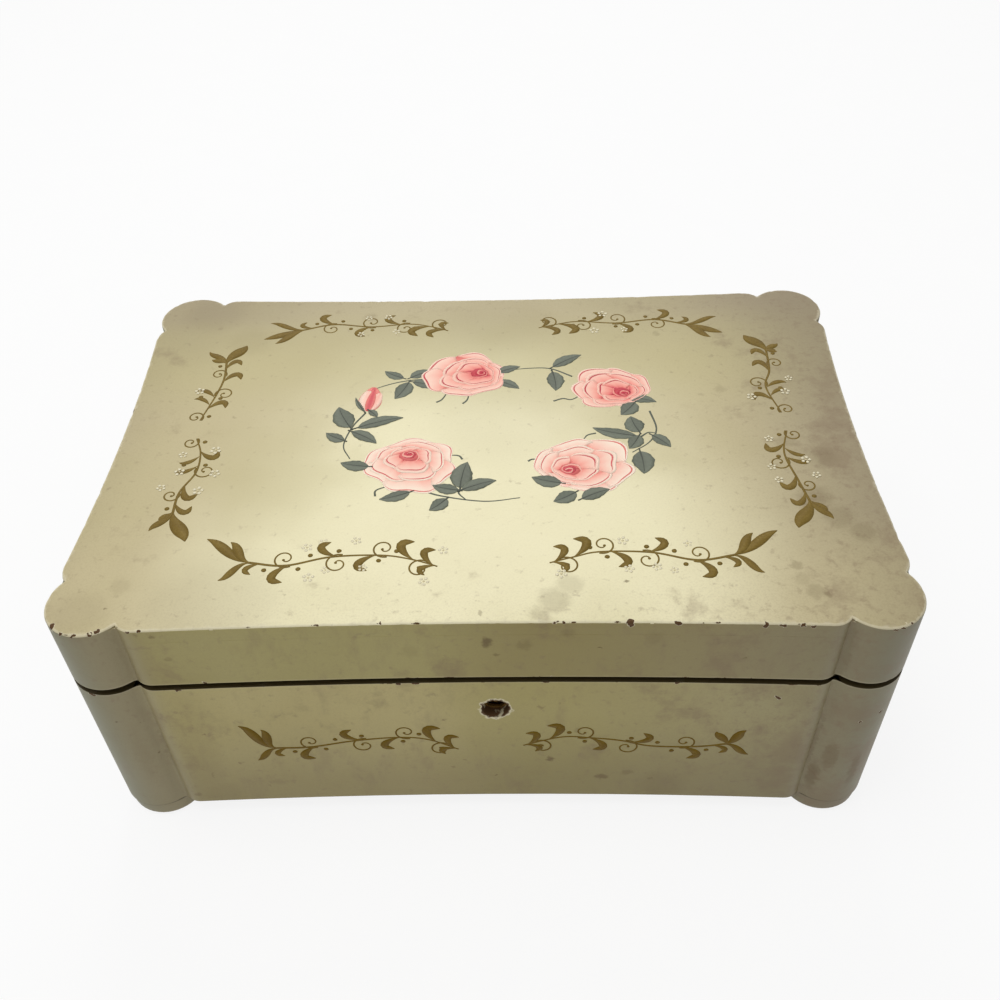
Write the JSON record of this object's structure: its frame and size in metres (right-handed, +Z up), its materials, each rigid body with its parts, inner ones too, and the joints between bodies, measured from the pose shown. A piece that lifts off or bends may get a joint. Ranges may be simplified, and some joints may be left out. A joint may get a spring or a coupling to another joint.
{
  "type": "musical jewelry box",
  "caption": "Rectangular lidded box with bowed sides and lobed corners, a lock hole in front, a mirrored lid, lined compartments and a clockwork musical movement.",
  "frame": {"origin": "centre of the bounding box at floor level, under the feet", "axes": "+X to the right seen from the front, +Y to the back where the hinges are, +Z up"},
  "size_m": [0.2668, 0.1792, 0.1034],
  "materials": {
    "lacquered_wood": "aged ivory-green lacquer",
    "bare_board": "bare plywood",
    "velvet": "flocked",
    "velvet_rolls": "velvet",
    "satin": "padded satin",
    "mirror_glass": "silvered",
    "clear_cover": "clear sheet",
    "steel": "bright steel",
    "plated_steel": "nickel plate",
    "cast_bed": "sprayed grey",
    "lock_brass": "dull brass",
    "brass": "brass"
  },
  "bodies": {
    "case": {"barrel_bridge": "brass", "bedplate": "cast_bed", "board_nails": "steel", "bottom_board": "bare_board", "case_back_panel": "lacquered_wood", "case_front_panel": "lacquered_wood", "case_left_panel": "lacquered_wood", "case_post_back_left": "lacquered_wood", "case_post_back_right": "lacquered_wood", "case_post_front_left": "lacquered_wood", "case_post_front_right": "lacquered_wood", "case_right_panel": "lacquered_wood", "case_screws": "brass", "comb": "steel", "floor_lining": "velvet", "foot_back_left": "lacquered_wood", "foot_back_right": "lacquered_wood", "foot_front_left": "lacquered_wood", "foot_front_right": "lacquered_wood", "governor_bracket": "brass", "hinge_case_leaf_left": "brass", "hinge_case_leaf_right": "brass", "hinge_pins": "steel", "lock_case": "lock_brass", "long_divider": "velvet", "movement_cover": "clear_cover", "movement_divider": "velvet", "movement_screws": "steel", "ring_divider": "velvet", "ring_rolls": "velvet_rolls", "wall_lining": "velvet", "wheel_bracket": "brass"},
    "lid": {"hinge_lid_leaf_left": "brass", "hinge_lid_leaf_right": "brass", "lid_back_rail": "lacquered_wood", "lid_ceiling_lining": "satin", "lid_front_rail": "lacquered_wood", "lid_left_rail": "lacquered_wood", "lid_post_back_left": "lacquered_wood", "lid_post_back_right": "lacquered_wood", "lid_post_front_left": "lacquered_wood", "lid_post_front_right": "lacquered_wood", "lid_right_rail": "lacquered_wood", "lid_screws": "brass", "lid_side_lining": "velvet", "lid_top_board": "lacquered_wood", "mirror": "mirror_glass", "stop_tab": "brass", "link_plate": "lock_brass"},
    "bolt": {"lock_bolt": "lock_brass"},
    "key": {"winding_arbor": "steel", "winding_key": "plated_steel"},
    "barrel": {"spring_barrel": "brass", "crown_wheel": "brass", "mainspring": "steel"},
    "cylinder": {"music_cylinder": "brass", "cylinder_wheel": "brass"},
    "third": {"third_wheel": "steel"},
    "governor": {"governor_fly": "steel"},
    "stop": {"stop_pin": "steel"}
  },
  "joints": [
    {"name": "lid_hinge", "type": "hinge", "parent": "case", "child": "lid", "pos_m": [0, 0.0876, 0.0766], "axis": [-1, 0, 0], "range_deg": [0, 95]},
    {"name": "lock_bolt_slide", "type": "slide", "parent": "case", "child": "bolt", "axis": [1, 0, 0], "range_m": [0, 0.004]},
    {"name": "winding_key_turn", "type": "hinge", "parent": "case", "child": "key", "pos_m": [-0.0978, 0.04535, 0.013], "axis": [0, 0, -1], "continuous": true},
    {"name": "barrel_turn", "type": "hinge", "parent": "case", "child": "barrel", "pos_m": [-0.0978, 0.04535, 0.022], "axis": [0, 0, 1], "continuous": true},
    {"name": "cylinder_turn", "type": "hinge", "parent": "case", "child": "cylinder", "pos_m": [-0.0848, 0.04535, 0.03872], "axis": [1, 0, 0], "continuous": true},
    {"name": "third_wheel_turn", "type": "hinge", "parent": "case", "child": "third", "pos_m": [-0.0608, 0.05457, 0.03226], "axis": [1, 0, 0], "continuous": true},
    {"name": "governor_turn", "type": "hinge", "parent": "case", "child": "governor", "pos_m": [-0.057, 0.06216, 0.03226], "axis": [0, 0, 1], "continuous": true},
    {"name": "stop_pin_slide", "type": "slide", "parent": "case", "child": "stop", "axis": [0, 0, 1], "range_m": [0, 0.004]}
  ],
  "couplings": [
    {"joint": "cylinder_turn", "follows": "third_wheel_turn", "ratio": -0.25},
    {"joint": "barrel_turn", "follows": "third_wheel_turn", "ratio": -0.083333},
    {"joint": "governor_turn", "follows": "third_wheel_turn", "ratio": -24},
    {"joint": "stop_pin_slide", "follows": "lid_hinge", "m_per_rad": 0.0024124}
  ]
}
